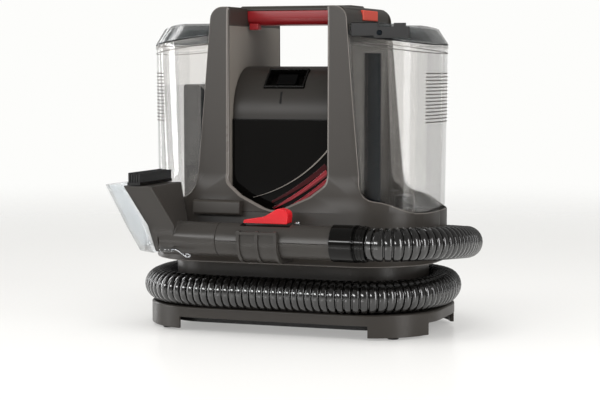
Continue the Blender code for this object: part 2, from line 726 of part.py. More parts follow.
# Its route: out of the port, once round the neck, up across the back, round the end and into the tool.
HOSE_ROUTE = (
    (60.4, 98.9, HOSE_LOW),
    (66, 98.9, HOSE_LOW),
    (82, 98.7, HOSE_LOW),
    (116.7, 88.1, HOSE_LOW),
    (147.1, 57.6, HOSE_LOW),
    (158.3, 16, HOSE_LOW),
    (158.3, -16, HOSE_LOW),
    (147.1, -57.6, HOSE_LOW),
    (116.7, -88.1, HOSE_LOW),
    (75, -99.3, HOSE_LOW),
    (25, -99.3, HOSE_LOW),
    (-25, -99.3, HOSE_LOW),
    (-75, -99.3, HOSE_LOW),
    (-116.7, -88.1, HOSE_LOW),
    (-147.1, -57.6, HOSE_LOW),
    (-158.3, -16, HOSE_LOW),
    (-158.3, 22, HOSE_LOW),
    (-150, 60, HOSE_LOW),
    (-127, 95, HOSE_LOW + 0.8),
    (-94, 115, 50),
    (-60, 119.5, 58),
    (-20, 119.5, 70),
    (18, 119.5, 81.5),
    (56, 119.5, 84.5),
    (90, 116, 86),
    (123, 105, 88),
    (152, 82, 90),
    (173, 50, 92.5),
    (184, 14, 96),
    (188, -20, 99),
    (186, -52, 101.5),
    (178, -80, 103),
    (165, -102, HOSE_HIGH),
    (147, -117, HOSE_HIGH),
    (132, -123.2, HOSE_HIGH),
    (122.5, WAND_Y, HOSE_HIGH),
    (COLLAR_END + 0.6, WAND_Y, HOSE_HIGH),
)


def smooth_route(points, spacing):
    """Points every so often along a Catmull-Rom curve. The first and last stretches stay straight."""
    path = [Vector(p) for p in points]
    first, last = path[0], path[-1]
    fine = []
    for a, b, c, d in zip(path, path[1:], path[2:], path[3:]):
        for step in range(20):
            t = step / 20
            square, cube = 2 * a - 5 * b + 4 * c - d, 3 * b - a - 3 * c + d
            fine.append(0.5 * (2 * b + (c - a) * t + square * t**2 + cube * t**3))
    fine.append(path[-2])
    kept, travelled = [fine[0]], 0.0
    for before, here in zip(fine, fine[1:]):
        travelled += (here - before).length
        if travelled >= spacing:
            kept.append(here)
            travelled = 0.0
    if (kept[-1] - fine[-1]).length < spacing / 2:
        kept.pop()
    return [first] + kept + [fine[-1], last]


def build_hose():
    curve = bpy.data.curves.new("hose", "CURVE")
    curve.dimensions = "3D"
    curve.bevel_depth = HOSE_DIAMETER / 2 * MM
    curve.bevel_resolution = 4
    curve.use_fill_caps = True
    points = smooth_route(HOSE_ROUTE, HOSE_DIAMETER * 0.7)
    spline = curve.splines.new("POLY")
    spline.points.add(len(points) - 1)
    for target, point in zip(spline.points, points):
        target.co = (*(point * MM), 1.0)
    curve.materials.append(materials["hose_black"])
    obj = bpy.data.objects.new("hose", curve)
    bpy.context.scene.collection.objects.link(obj)
    obj.parent = machine


clear_scene()
materials = {name: make_material(name) for name in FINISHES}
machine = bpy.data.objects.new("machine", None)
bpy.context.scene.collection.objects.link(machine)
machine.location = (0.0, SHIFT_Y * MM, 0.0)

build_base()
build_drum()
build_shells()
build_floor_and_trays()
build_arms()
build_handle()
build_pod()
build_switch()
build_motor()
build_rear_fittings()
build_clean_tank()
build_dirty_tank()
build_wand()
build_nozzle()
build_holders()
build_hose()
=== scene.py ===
# %% [markdown]
# # A portable carpet cleaner
# The working model already holds every moulding at its real size and place. This script gives the
# machine its looks: it loads that model, remakes the pieces whose surface was only roughed out,
# and paints each one as the plastic, rubber or metal that it is.

# %% Load the working model
import json
import math

import bpy
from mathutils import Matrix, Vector
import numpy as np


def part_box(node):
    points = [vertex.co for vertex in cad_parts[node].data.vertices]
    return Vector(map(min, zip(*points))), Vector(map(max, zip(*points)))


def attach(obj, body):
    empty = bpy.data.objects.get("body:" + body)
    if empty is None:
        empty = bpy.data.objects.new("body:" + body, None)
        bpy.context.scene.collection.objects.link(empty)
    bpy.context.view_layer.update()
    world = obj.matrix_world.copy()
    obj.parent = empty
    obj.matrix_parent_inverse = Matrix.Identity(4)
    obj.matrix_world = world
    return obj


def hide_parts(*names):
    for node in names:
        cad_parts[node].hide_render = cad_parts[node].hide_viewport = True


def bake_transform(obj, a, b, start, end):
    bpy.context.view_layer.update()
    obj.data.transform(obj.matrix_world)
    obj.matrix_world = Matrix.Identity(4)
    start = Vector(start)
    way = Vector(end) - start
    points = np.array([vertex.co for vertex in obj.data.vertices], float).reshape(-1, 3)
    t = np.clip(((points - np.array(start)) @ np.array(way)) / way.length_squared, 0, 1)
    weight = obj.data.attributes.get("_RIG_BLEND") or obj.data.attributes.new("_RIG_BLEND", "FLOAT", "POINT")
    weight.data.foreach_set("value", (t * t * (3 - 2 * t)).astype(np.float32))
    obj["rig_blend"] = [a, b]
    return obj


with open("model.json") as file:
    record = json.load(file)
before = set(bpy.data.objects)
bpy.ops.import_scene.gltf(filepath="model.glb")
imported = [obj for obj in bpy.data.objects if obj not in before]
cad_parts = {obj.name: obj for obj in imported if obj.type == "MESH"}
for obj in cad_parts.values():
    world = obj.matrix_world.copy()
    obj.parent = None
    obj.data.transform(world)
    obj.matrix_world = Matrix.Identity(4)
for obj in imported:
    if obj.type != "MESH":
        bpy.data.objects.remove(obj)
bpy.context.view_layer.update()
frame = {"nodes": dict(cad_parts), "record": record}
MM = 0.001
MACHINE_Y = 26 * MM  # the machine stands this far back from the origin
print("loaded", len(frame["nodes"]), "nodes")

# %% [markdown]
# ## Camera
# The machine is seen from a little to its right and from just under the height of its tanks. A long
# lens from almost two metres keeps the pillars upright. The camera comes first, because it says
# which lengths of the hose are in view.

# %% Camera
AZIMUTH, DOWN = math.radians(19.96), math.radians(4.38)
DISTANCE, ASIDE, EYE_HEIGHT = 1938 * MM, -3.1 * MM, 286.2 * MM
LENS_MM, SENSOR_MM = 104.8, 36.0

bpy.ops.object.camera_add(rotation=(math.radians(90) - DOWN, 0, AZIMUTH))
camera = bpy.context.object
camera.location = (
    math.sin(AZIMUTH) * DISTANCE + math.cos(AZIMUTH) * ASIDE,
    -math.cos(AZIMUTH) * DISTANCE + math.sin(AZIMUTH) * ASIDE + MACHINE_Y,
    EYE_HEIGHT,
)
camera.data.lens, camera.data.sensor_width = LENS_MM, SENSOR_MM
bpy.context.scene.camera = camera
print("camera at", [round(x, 3) for x in camera.location])

# %% [markdown]
# ## Working habits
# Operators act on everything that is selected, so each step starts with one piece chosen alone.
# `pick` then selects faces, edges or points by a test on where they are and which way they look.

# %% Choose a piece, or part of it
def alone(piece):
    """Select this piece and nothing else, in object mode."""
    if bpy.context.object and bpy.context.object.mode != "OBJECT":
        bpy.ops.object.mode_set(mode="OBJECT")
    bpy.ops.object.select_all(action="DESELECT")
    piece.select_set(True)
    bpy.context.view_layer.objects.active = piece


def pick(piece, test, kind="FACE"):
    """Enter edit mode with the faces, edges or points selected whose middle passes the test."""
    alone(piece)
    mesh = piece.data
    for group in (mesh.vertices, mesh.edges, mesh.polygons):
        group.foreach_set("select", [False] * len(group))
    if kind == "FACE":
        for face in mesh.polygons:
            face.select = bool(test(face.center, face.normal))
    elif kind == "EDGE":
        for edge in mesh.edges:
            ends = [mesh.vertices[i].co for i in edge.vertices]
            edge.select = bool(test((ends[0] + ends[1]) / 2, (ends[1] - ends[0]).normalized()))
    else:
        for point in mesh.vertices:
            point.select = bool(test(point.co, None))
    bpy.ops.object.mode_set(mode="EDIT")
    bpy.ops.mesh.select_mode(type=kind)


def pick_all(piece):
    """Enter edit mode with the whole piece selected."""
    alone(piece)
    bpy.ops.object.mode_set(mode="EDIT")
    bpy.ops.mesh.select_all(action="SELECT")


# %% [markdown]
# ## Soft edges
# A mould never leaves a knife edge, and the small radius it leaves is what catches the light. The
# edges could be picked and rounded one by one. A Bevel modifier finds them by their angle instead,
# and weighted normals keep the flat faces flat beside the rounds.

# %% Apply a modifier, and round the edges
def apply_modifier(piece, kind, **settings):
    """Add one modifier with its settings and apply it."""
    alone(piece)
    modifier = piece.modifiers.new(kind.title(), kind)
    for key, value in settings.items():
        setattr(modifier, key, value)
    bpy.ops.object.modifier_apply(modifier=modifier.name)


def soften(piece, width, segments=3, angle=35, clamp=True):
    """Round the sharp edges, as a mould does, and let the flat faces keep their flat shading."""
    if width:
        apply_modifier(
            piece, "BEVEL", width=width, segments=segments, limit_method="ANGLE",
            angle_limit=math.radians(angle), use_clamp_overlap=clamp, miter_outer="MITER_SHARP",
        )
    alone(piece)
    bpy.ops.object.shade_smooth_by_angle(angle=math.radians(angle + 10))
    apply_modifier(piece, "WEIGHTED_NORMAL", keep_sharp=True, weight=80)


# %% [markdown]
# ## Hand a piece over
# A finished piece moves with one body of the machine, wears one material, and may stand for one of
# the working model's nodes, which it then hides. Its place goes into its mesh, so that a pattern
# stays where it is when the body moves.

# %% Finish a piece
def finish(piece, body, material, slot, *nodes):
    """Put the piece's place in its mesh, then give it its body, material and nodes; the slot is not used."""
    alone(piece)
    bpy.ops.object.transform_apply(location=True, rotation=True, scale=True)
    piece.data.materials.clear()
    piece.data.materials.append(material)
    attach(piece, body)
    if nodes:
        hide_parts(*nodes)
    return piece


print("one way to finish a piece:", finish.__name__)

# %% [markdown]
# ## Materials
# The machine is almost all moulded plastic, so what tells one piece from the next is how its
# mould was finished: spark-eroded for the grey casings, polished for the black panel, and
# polished again for the tanks, which are clear SAN. Each material starts from the typical
# values of its kind, and its grain is worked out from a real size in millimetres.

# %% Colours and nodes
def colour(hex_value, alpha=1.0):
    """The linear colour of an sRGB hex value."""
    parts = [int(hex_value[i : i + 2], 16) / 255 for i in (0, 2, 4)]
    parts = [c / 12.92 if c <= 0.04045 else ((c + 0.055) / 1.055) ** 2.4 for c in parts]
    return (*parts, alpha)


def add_node(material, kind, inputs=None, **settings):
    """Add a node, with its settings, and with each input set to a value or linked from a socket."""
    tree = material.node_tree
    made = tree.nodes.new(kind)
    for key, value in settings.items():
        setattr(made, key, value)
    for name, value in (inputs or {}).items():
        if isinstance(value, bpy.types.NodeSocket):
            tree.links.new(value, made.inputs[name])
        else:
            made.inputs[name].default_value = value
    return made


def new_material(name):
    """A material, its shader and its links."""
    material = bpy.data.materials.new(name)
    material.use_nodes = True
    return material, material.node_tree.nodes["Principled BSDF"], material.node_tree.links


# %% [markdown]
# Moulded plastic has no pattern of its own. Two things keep it from looking drawn: a grain as fine
# as the mould's spark-eroded surface, and patches a few centimetres wide, where the colour and the
# gloss differ by a few hundredths. The grain is under a millimetre, so it shows only in highlights.

# %% Moulded plastic
CLOUD_MM, GLOSS_CHANGE = 45, 0.12  # width of the patches, and the share that their gloss differs by


def moulded(name, base, roughness, grain_mm, depth_mm, uneven=0.06, specular=0.4, metallic=0.0):
    """Injection-moulded plastic: an even colour, the mould's fine grain, and a gloss that varies a little."""
    material, shader, links = new_material(name)
    place = add_node(material, "ShaderNodeTexCoord").outputs["Object"]
    cloud = add_node(
        material, "ShaderNodeTexNoise", {"Vector": place, "Scale": 1 / (CLOUD_MM * MM), "Detail": 3.0}
    )
    dark = tuple(c * (1 - uneven) for c in colour(base)[:3]) + (1.0,)
    light = tuple(min(1.0, c * (1 + uneven)) for c in colour(base)[:3]) + (1.0,)
    shade = add_node(
        material, "ShaderNodeMix", {0: cloud.outputs["Fac"], 6: dark, 7: light}, data_type="RGBA"
    )
    links.new(shade.outputs[2], shader.inputs["Base Color"])
    grain = add_node(
        material, "ShaderNodeTexNoise", {"Vector": place, "Scale": 1 / (grain_mm * MM), "Detail": 2.0}
    )
    gloss = add_node(
        material, "ShaderNodeMapRange",
        {"Value": cloud.outputs["Fac"], "To Min": roughness * (1 - GLOSS_CHANGE),
         "To Max": min(1.0, roughness * (1 + GLOSS_CHANGE))},
    )
    links.new(gloss.outputs["Result"], shader.inputs["Roughness"])
    bump = add_node(
        material, "ShaderNodeBump",
        {"Height": grain.outputs["Fac"], "Distance": depth_mm * MM, "Strength": 0.6},
    )
    links.new(bump.outputs["Normal"], shader.inputs["Normal"])
    shader.inputs["Metallic"].default_value = metallic
    shader.inputs["Specular IOR Level"].default_value = specular
    return material


# %% [markdown]
# The tanks are clear SAN, a stiff plastic that is as clear as glass. A wall that only bent the light
# would need many samples to look clear, so each wall lets part of the light straight through, and
# the share that it doesn't is the material's alpha. A wide, weak flow pattern bends the reflections.

# %% Clear plastic
FLOW_MM, SAN_IOR = 30, 1.57  # width of the flow pattern, and how strongly the plastic bends light


def clear_san(name, tint, alpha, roughness):
    """Polished styrene-acrylonitrile: clear, with a faint flow pattern that bends its reflections."""
    material, shader, links = new_material(name)
    place = add_node(material, "ShaderNodeTexCoord").outputs["Object"]
    flow = add_node(
        material, "ShaderNodeTexNoise", {"Vector": place, "Scale": 1 / (FLOW_MM * MM), "Detail": 1.0}
    )
    bump = add_node(
        material, "ShaderNodeBump", {"Height": flow.outputs["Fac"], "Distance": 0.4 * MM, "Strength": 0.12}
    )
    links.new(bump.outputs["Normal"], shader.inputs["Normal"])
    shader.inputs["Base Color"].default_value = colour(tint)
    shader.inputs["Roughness"].default_value = roughness
    shader.inputs["IOR"].default_value = SAN_IOR
    shader.inputs["Transmission Weight"].default_value = 0.96
    shader.inputs["Alpha"].default_value = alpha
    return material


# %% [markdown]
# ## The finishes of this machine
# Each row is one finish: its sRGB colour, its roughness, and the grain's width and depth in
# millimetres. ABS from a spark-eroded mould is satin, ABS from a polished mould shines like lacquer,
# and soft rubber hardly shines at all. Dark pieces get a low specular level, so that the white
# surroundings don't grey them.

# %% Opaque finishes
casing_abs = moulded("spark_eroded_grey_abs", "393531", 0.38, 0.9, 0.03, specular=0.26)  # satin warm grey
lit_inner_abs = moulded("inner_grey_abs", "7b756e", 0.5, 0.9, 0.03, specular=0.3)  # paler and duller: painted light on the left arm, one plastic with the right arm
painted_highlight_chamfer_abs = moulded("polished_edge_painted_highlight_abs", "6d6762", 0.28, 0.9, 0.01, specular=0.5)  # glossier and paler than the casing: a painted highlight on the chamfers
pod_abs = moulded("hood_grey_abs", "2d2a27", 0.4, 0.9, 0.03, specular=0.26)  # a darker casing
tool_abs = moulded("hand_tool_grey_abs", "393633", 0.33, 0.9, 0.02, specular=0.32)  # a little glossier
polished_black = moulded(  # like lacquer: black, with sharp reflections and no grain
    "polished_black_abs", "0c0b0a", 0.08, 12.0, 0.02, uneven=0.02, specular=0.22
)
satin_black = moulded("satin_black_abs", "121111", 0.35, 0.8, 0.03, specular=0.25)  # soft highlights
rocker_black = moulded("matt_black_abs", "080808", 0.55, 0.8, 0.02, specular=0.05)  # lost in its pocket
grip_red = moulded("soft_touch_red_tpe", "8e1b20", 0.3, 0.7, 0.03)  # deep red, wide highlights
trigger_red = moulded("bright_red_abs", "da1a25", 0.26, 0.9, 0.01)  # signal red, smooth
button_orange = moulded("orange_red_abs", "dc4a36", 0.38, 0.7, 0.02)  # a flat orange red
silver_foil = moulded("silver_foil", "77716b", 0.35, 0.6, 0.005, metallic=0.3)  # a dull metal line
slate_abs = moulded("slate_blue_abs", "0b1218", 0.5, 8.0, 0.002, specular=0.06)  # blue-black, no glare
foot_rubber = moulded("nitrile_rubber", "171616", 0.8, 0.5, 0.05)  # dull all over
bristle_nylon = moulded("black_nylon_bristle", "070707", 0.45, 0.5, 0.01, specular=0.3)  # a faint sheen
hose_pvc = moulded("black_pvc_hose", "0f0e0d", 0.16, 1.2, 0.01, specular=0.9)  # wet-looking ribs
plated_steel = moulded("plated_steel", "98999b", 0.25, 0.6, 0.005, metallic=1.0)  # a bright metal

# %% Clear finishes
tank_san = clear_san("clear_tank_san", "d2ccc6", 0.24, 0.03)  # nearly clear, a little warm
rib_san = clear_san("ribbed_tank_san", "6f6863", 0.8, 0.5)  # the ribs scatter light, so they look dark
lid_san = clear_san("smoked_lid_san", "4a4f51", 0.56, 0.05)  # smoked: dark, but still seen through
nozzle_san = clear_san("clear_nozzle_san", "c6ced4", 0.42, 0.04)  # clear, a little cold
print(len(bpy.data.materials), "materials")

# %% [markdown]
# ## The streak's foil
# The streak on the front panel is a foil coloured from near black through red to pink, in bands
# that run along it. The bands follow one slanted direction, so a slanted coordinate drives a ramp.

# %% The red streak's foil
STREAK_SLOPE, STREAK_PITCH = math.radians(36), 7.5 * MM  # slope on the panel, width of a set of bands
FOIL_BANDS = (
    (0.0, "3a0d12"), (0.35, "7d1a22"), (0.5, "b53a45"), (0.6, "8c1d27"), (0.9, "a52a35"), (1.0, "3a0d12"),
)


def banded_foil(name):
    """Foil coloured in bands along a slanted direction."""
    material, shader, links = new_material(name)
    place = add_node(material, "ShaderNodeTexCoord").outputs["Object"]
    turned = add_node(material, "ShaderNodeMapping", {"Vector": place, "Rotation": (0, STREAK_SLOPE, 0)})
    across = add_node(material, "ShaderNodeSeparateXYZ", {"Vector": turned.outputs["Vector"]})
    bands = add_node(
        material, "ShaderNodeMath", {0: across.outputs["Z"], 1: STREAK_PITCH}, operation="DIVIDE"
    )
    share = add_node(material, "ShaderNodeMath", {0: bands.outputs["Value"]}, operation="FRACT")
    ramp = add_node(material, "ShaderNodeValToRGB", {"Fac": share.outputs["Value"]})
    for _ in FOIL_BANDS[2:]:
        ramp.color_ramp.elements.new(0.5)
    for element, (position, hex_value) in zip(ramp.color_ramp.elements, FOIL_BANDS):
        element.position, element.color = position, colour(hex_value)
    links.new(ramp.outputs["Color"], shader.inputs["Base Color"])
    shader.inputs["Roughness"].default_value = 0.18
    return material


streak_red = banded_foil("banded_red_foil")
dark_streak = moulded("dark_red_foil", "3f0d12", 0.2, 12.0, 0.01, uneven=0.5, specular=0.22)
print("streak", streak_red.name, "and", dark_streak.name)

# %% [markdown]
# ## Suction hose
# A corrugated hose bends because its wall is all ribs: stiff rings with thin folds between them.
# It could be a smooth tube with a bump pattern, but the ribs make its outline, so each rib is
# real. The path is the hose's own route, read as one smooth curve. Rings of points stand square
# to it, and their radius rises and falls once for every rib.

# %% The hose's route
HOSE_LOW, HOSE_HIGH, TOOL_Y, COLLAR_END = 45.2, 104.0, -124.0, 116.0
HOSE_ROUTE = (
    (60.4, 98.9, HOSE_LOW), (66, 98.9, HOSE_LOW), (82, 98.7, HOSE_LOW),
    (116.7, 88.1, HOSE_LOW), (147.1, 57.6, HOSE_LOW), (158.3, 16, HOSE_LOW),
    (158.3, -16, HOSE_LOW), (147.1, -57.6, HOSE_LOW), (116.7, -88.1, HOSE_LOW),
    (75, -99.3, HOSE_LOW), (25, -99.3, HOSE_LOW), (-25, -99.3, HOSE_LOW),
    (-75, -99.3, HOSE_LOW), (-116.7, -88.1, HOSE_LOW), (-147.1, -57.6, HOSE_LOW),
    (-158.3, -16, HOSE_LOW), (-158.3, 22, HOSE_LOW), (-150, 60, HOSE_LOW),
    (-127, 95, HOSE_LOW + 0.8), (-94, 115, 50), (-60, 119.5, 58),
    (-20, 119.5, 70), (18, 119.5, 81.5), (56, 119.5, 84.5),
    (90, 116, 86), (123, 105, 88), (152, 82, 90),
    (173, 50, 92.5), (184, 14, 96), (188, -20, 99),
    (186, -52, 101.5), (178, -80, 103), (165, -102, HOSE_HIGH),
    (147, -117, HOSE_HIGH), (132, -123.2, HOSE_HIGH), (122.5, TOOL_Y, HOSE_HIGH),
    (COLLAR_END + 0.6, TOOL_Y, HOSE_HIGH),
)


def smooth_route(points, steps=40):
    """Points along a Catmull-Rom curve. The first and last stretches stay straight."""
    path = [Vector(p) for p in points]
    fine = [path[0]]
    for a, b, c, d in zip(path, path[1:], path[2:], path[3:]):
        square, cube = 2 * a - 5 * b + 4 * c - d, 3 * b - a - 3 * c + d
        for step in range(steps):
            t = step / steps
            fine.append(0.5 * (2 * b + (c - a) * t + square * t**2 + cube * t**3))
    return fine + path[-2:]


hose_line = [(p + Vector((0, MACHINE_Y / MM, 0))) * MM for p in smooth_route(HOSE_ROUTE)]
hose_length = sum((b - a).length for a, b in zip(hose_line, hose_line[1:]))
print("hose length", round(hose_length, 4), "m")

# %% [markdown]
# The rings of points are worked out one by one along the route. An Array and a Curve modifier could
# do it too, but the ribs would be squeezed at the bends, and the length would be less exact.

# %% The hose's ribs
RIB_PITCH, HOSE_SIDES = 7.9 * MM, 24
# (share of a rib's pitch, radius) over one rib: a flat crown with round shoulders, then the fold
RIB_SHAPE = ((0.0, 14.9), (0.07, 16.7), (0.14, 17.4), (0.45, 17.5), (0.76, 17.4), (0.83, 16.7), (0.9, 14.9))


def point_at(line, distance):
    """The point and the direction a distance along a line."""
    for a, b in zip(line, line[1:]):
        step = (b - a).length
        if distance <= step:
            return a.lerp(b, distance / step if step else 0), (b - a).normalized()
        distance -= step
    return line[-1], (line[-1] - line[-2]).normalized()


def hose_stations():
    """(distance, radius) of every ring of the hose."""
    ribs = round(hose_length / RIB_PITCH)
    pitch = hose_length / ribs
    stations = [((rib + share) * pitch, radius * MM) for rib in range(ribs) for share, radius in RIB_SHAPE]
    return stations + [(hose_length, RIB_SHAPE[0][1] * MM)]


points, faces = [], []
upright = Vector((0, 0, 1))
travelled, index = 0.0, 0
stations = hose_stations()
for distance, radius in stations:
    while index < len(hose_line) - 2:
        step = (hose_line[index + 1] - hose_line[index]).length
        if travelled + step >= distance:
            break
        travelled += step
        index += 1
    middle, along = point_at(hose_line[index:], distance - travelled)
    across = along.cross(upright).normalized()
    over = across.cross(along)
    for side in range(HOSE_SIDES):
        turn = 2 * math.pi * side / HOSE_SIDES
        points.append(middle + radius * (math.cos(turn) * across + math.sin(turn) * over))
for ring in range(len(stations) - 1):
    for side in range(HOSE_SIDES):
        beside = (side + 1) % HOSE_SIDES
        low, high = ring * HOSE_SIDES, (ring + 1) * HOSE_SIDES
        faces.append((low + side, low + beside, high + beside, high + side))
faces.append(tuple(reversed(range(HOSE_SIDES))))
faces.append(tuple(range(len(points) - HOSE_SIDES, len(points))))
hose_mesh = bpy.data.meshes.new("corrugated_hose")
hose_mesh.from_pydata(points, [], faces)
corrugated_hose = bpy.data.objects.new("corrugated_hose", hose_mesh)
bpy.context.scene.collection.objects.link(corrugated_hose)
pick_all(corrugated_hose)
bpy.ops.mesh.normals_make_consistent(inside=False)
alone(corrugated_hose)
bpy.ops.object.shade_smooth_by_angle(angle=math.radians(60))
hose_mesh.materials.append(hose_pvc)
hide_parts("hose")
print("hose", len(faces), "faces")

# %% [markdown]
# The hose's far end moves with the hand tool when it is lifted off its hook, and its near end
# stays in the machine. So the last stretch, from the back round the right end, gives way bit by
# bit. The share that follows the tool is set by the distance along the hose.

# %% Let the hose's last stretch follow the tool
FOLLOWING_STRETCH, STIFF_END = 430 * MM, 20 * MM  # how much gives way, and how much stays on the tool
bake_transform(corrugated_hose, "machine", "wand", start=(0, 0, HOSE_LOW * MM), end=(0, 0, HOSE_HIGH * MM))
shares = []
for distance, _ in stations:
    share = min(1.0, max(0.0, 1 - (hose_length - STIFF_END - distance) / FOLLOWING_STRETCH))
    shares += [share * share * (3 - 2 * share)] * HOSE_SIDES
hose_mesh.attributes["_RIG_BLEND"].data.foreach_set("value", shares)
print("the last", FOLLOWING_STRETCH, "m of the hose follow the tool")

# %% [markdown]
# ## Mouldings that only need their edges and finish
# Many pieces already have the right shape, but a real mould never leaves a knife edge: every
# edge carries a small radius, and that radius is what catches the light. Each of these is copied
# from its node, merged, cleared of the flat triangles, and given its radius.

# %% Copies of nodes to work on
WELD_MM = 0.004  # points closer than this are one point


def release(piece, name):
    """Take a copy out of the working model: its own name, no parent and none of the node's marks."""
    piece.name = piece.data.name = name
    piece.parent = None
    for key in list(piece.keys()):
        del piece[key]


def bench_copy(node, flatten=0.4):
    """A merged copy of a working node. Faces within `flatten` degrees become one; 0 leaves them all."""
    piece = frame["nodes"][node].copy()
    piece.data = piece.data.copy()
    bpy.context.scene.collection.objects.link(piece)
    release(piece, f"{node}_piece")
    piece.hide_render = piece.hide_viewport = False
    piece.hide_set(False)
    pick_all(piece)
    bpy.ops.mesh.remove_doubles(threshold=WELD_MM * MM)
    if flatten:
        bpy.ops.mesh.dissolve_limited(angle_limit=math.radians(flatten))
    alone(piece)
    return piece


BODY_OF = {node: body for body, nodes in frame["record"]["behaviour"]["bodies"].items() for node in nodes}

# %% [markdown]
# The Bevel modifier narrows every round of a piece when one short edge leaves too little room. Some
# pieces have such an edge and would lose their radius, so for them that guard is turned off.

# %% Refinish one node
WHOLE_RADIUS = ("nozzle_body", "wand_rest", "carry_handle", "base_tray", "pod_cover", "hose_drum")


def refinish(node, material, slot, radius_mm):
    """Round the edges of a node's copy and finish it in the node's place."""
    piece = bench_copy(node)
    soften(piece, radius_mm * MM, clamp=node not in WHOLE_RADIUS)
    return finish(piece, BODY_OF[node], material, slot, node)


# %% [markdown]
# One row for each node that only needs its edges and its finish: the finish, the colour slot that it
# belongs to, and the radius of its edges in millimetres. Feet and screws sit at the four corners.

# %% Casings and fittings
CORNERS = ("front_left", "front_right", "rear_left", "rear_right")
REFINISHED = (
    ("base_tray", casing_abs, "grey_abs", 0.7), ("bottom_cover", satin_black, "black_plastic", 0.6),
    *((f"foot_{corner}", foot_rubber, "rubber", 0.3) for corner in CORNERS),
    ("hose_drum", casing_abs, "grey_abs", 0.5), ("hose_port", casing_abs, "grey_abs", 1.5),
    ("housing_floor", satin_black, "black_plastic", 0.5),
    ("tank_tray_left", satin_black, "black_plastic", 0.5),
    # the arms are one plastic: the left arm's paler grey is painted light on its inner wall
    ("tank_tray_right", satin_black, "black_plastic", 0.5), ("arm_left", lit_inner_abs, "inner_grey_abs", 0.6),
    # the right arm's darker casing grey is painted shade, where it is seen through the tank
    ("arm_right", casing_abs, "inner_grey_abs", 0.6), ("handle_grip", grip_red, "red_grip", 1.5),
    ("release_button_left", button_orange, "orange_red", 0.4),
    ("release_button_right", button_orange, "orange_red", 0.4), ("pod_cover", pod_abs, "grey_abs", 0.8),
    ("pod_front_panel", polished_black, "gloss_black", 0.5),
    ("silver_trim", silver_foil, "silver_trim", 0.2), ("red_trim", streak_red, "bright_red", 0.3),
    ("exhaust_grille", satin_black, "black_plastic", 0.4),
    ("switch_pocket", polished_black, "gloss_black", 0.6),
    ("power_switch", rocker_black, "black_plastic", 0.5),
    ("suction_motor", plated_steel, "motor_steel", 0.8), ("fan_housing", satin_black, "black_plastic", 0.6),
    ("fan_cover", satin_black, "black_plastic", 0.5), ("fan_impeller", plated_steel, "motor_steel", 0.2),
    ("water_pump", satin_black, "black_plastic", 0.8), ("cord_gland", foot_rubber, "rubber", 0.5),
    ("wand_rest", casing_abs, "grey_abs", 0.8), ("clean_tank_valve", satin_black, "black_plastic", 0.5),
    ("pickup_tube", slate_abs, "slate_plastic", 0.5), ("standpipe", slate_abs, "slate_plastic", 0.8),
    ("float_guide", slate_abs, "slate_plastic", 0.2), ("float", slate_abs, "slate_plastic", 0.5),
    ("lid_latch", satin_black, "black_plastic", 0.5), ("latch_pin", slate_abs, "motor_steel", 0.2),
    ("clean_tank", tank_san, "clear_plastic", 0.5), ("dirty_tank", tank_san, "clear_plastic", 0.5),
    ("clean_tank_lid", lid_san, "smoked_clear", 1.2), ("dirty_tank_lid", lid_san, "smoked_clear", 1.2),
    ("wand_lower_shell", tool_abs, "grey_abs", 0.3), ("wand_upper_shell", tool_abs, "grey_abs", 0.3),
    ("wand_air_tube", satin_black, "black_plastic", 0.3), ("wand_cuff", polished_black, "gloss_black", 0.8),
    ("hose_collar", polished_black, "gloss_black", 0.8), ("trigger", trigger_red, "bright_red", 1.6),
    ("nozzle_body", tool_abs, "grey_abs", 1.4), ("nozzle_cover", nozzle_san, "clear_plastic", 0.8),
    ("carry_handle", casing_abs, "grey_abs", 0.7), ("wand_hook", tool_abs, "grey_abs", 0.8),
    ("wand_screw", plated_steel, "motor_steel", 0.3),
    *((f"base_screw_{corner}", plated_steel, "motor_steel", 0.3) for corner in CORNERS),
)
pieces = {}
for node, material, slot, radius_mm in REFINISHED:
    pieces[node] = refinish(node, material, slot, radius_mm)
print(len(pieces), "pieces refinished")

# %% [markdown]
# ## Housing shells
# The two halves of the housing are pressed to one shape. Its window has a broad chamfer, a few
# millimetres wide, that shows as a pale line down each pillar. The other outer edges get a third of
# it, and the inner edges none. One bevel does it all, with a weight on each edge that says how wide
# its own bevel is. The bevel's faces wear a second, glossier material, painted paler than the casing:
# a painted highlight along every chamfer.

# %% A bevel with its own width on each edge
def soften_more(piece, wide, share_of, angle=35):
    """Round each sharp edge by its own share of a width; share_of gives the share from its middle."""
    pick_all(piece)
    bpy.ops.mesh.select_mode(type="EDGE")
    bpy.ops.mesh.select_all(action="DESELECT")
    bpy.ops.mesh.edges_select_sharp(sharpness=math.radians(angle))
    alone(piece)
    mesh = piece.data
    weights = mesh.attributes.new("bevel_weight_edge", "FLOAT", "EDGE")
    for edge in mesh.edges:
        ends = [mesh.vertices[i].co for i in edge.vertices]
        weights.data[edge.index].value = share_of((ends[0] + ends[1]) / 2) if edge.select else 0.0
    apply_modifier(
        piece, "BEVEL", width=wide, segments=2, limit_method="WEIGHT",
        use_clamp_overlap=False, miter_outer="MITER_SHARP", material=1,
    )
    alone(piece)
    bpy.ops.object.shade_smooth_by_angle(angle=math.radians(angle + 10))
    apply_modifier(piece, "WEIGHTED_NORMAL", keep_sharp=True, weight=80)


# %% [markdown]
# Which edges lie on the outside is found by measuring. The outside is a rounded rectangle at every
# height, so an edge's distance from that outline tells it from the edges of the inner wall.

# %% Where the shells' edges lie
# (height, length, depth, corner radius) of the shell's outside
SHELL_OUTSIDE = (
    (76, 321, 196, 78.5), (84, 316, 190, 76), (132, 316, 188, 75),
    (150, 314, 175, 74), (172, 312, 163, 73), (354, 310, 160, 72),
)
WINDOW_HALF, WINDOW_BOTTOM, WINDOW_TOP = 56.6, 130.0, 346.0
CHAMFER, SMALL_SHARE = 2.6, 0.3  # the window's chamfer, and the other outer edges' share of it
NEAR_SURFACE, SEAM_HALF = 1.4, 1.5  # an edge this near is on the outside, or on the seam between shells


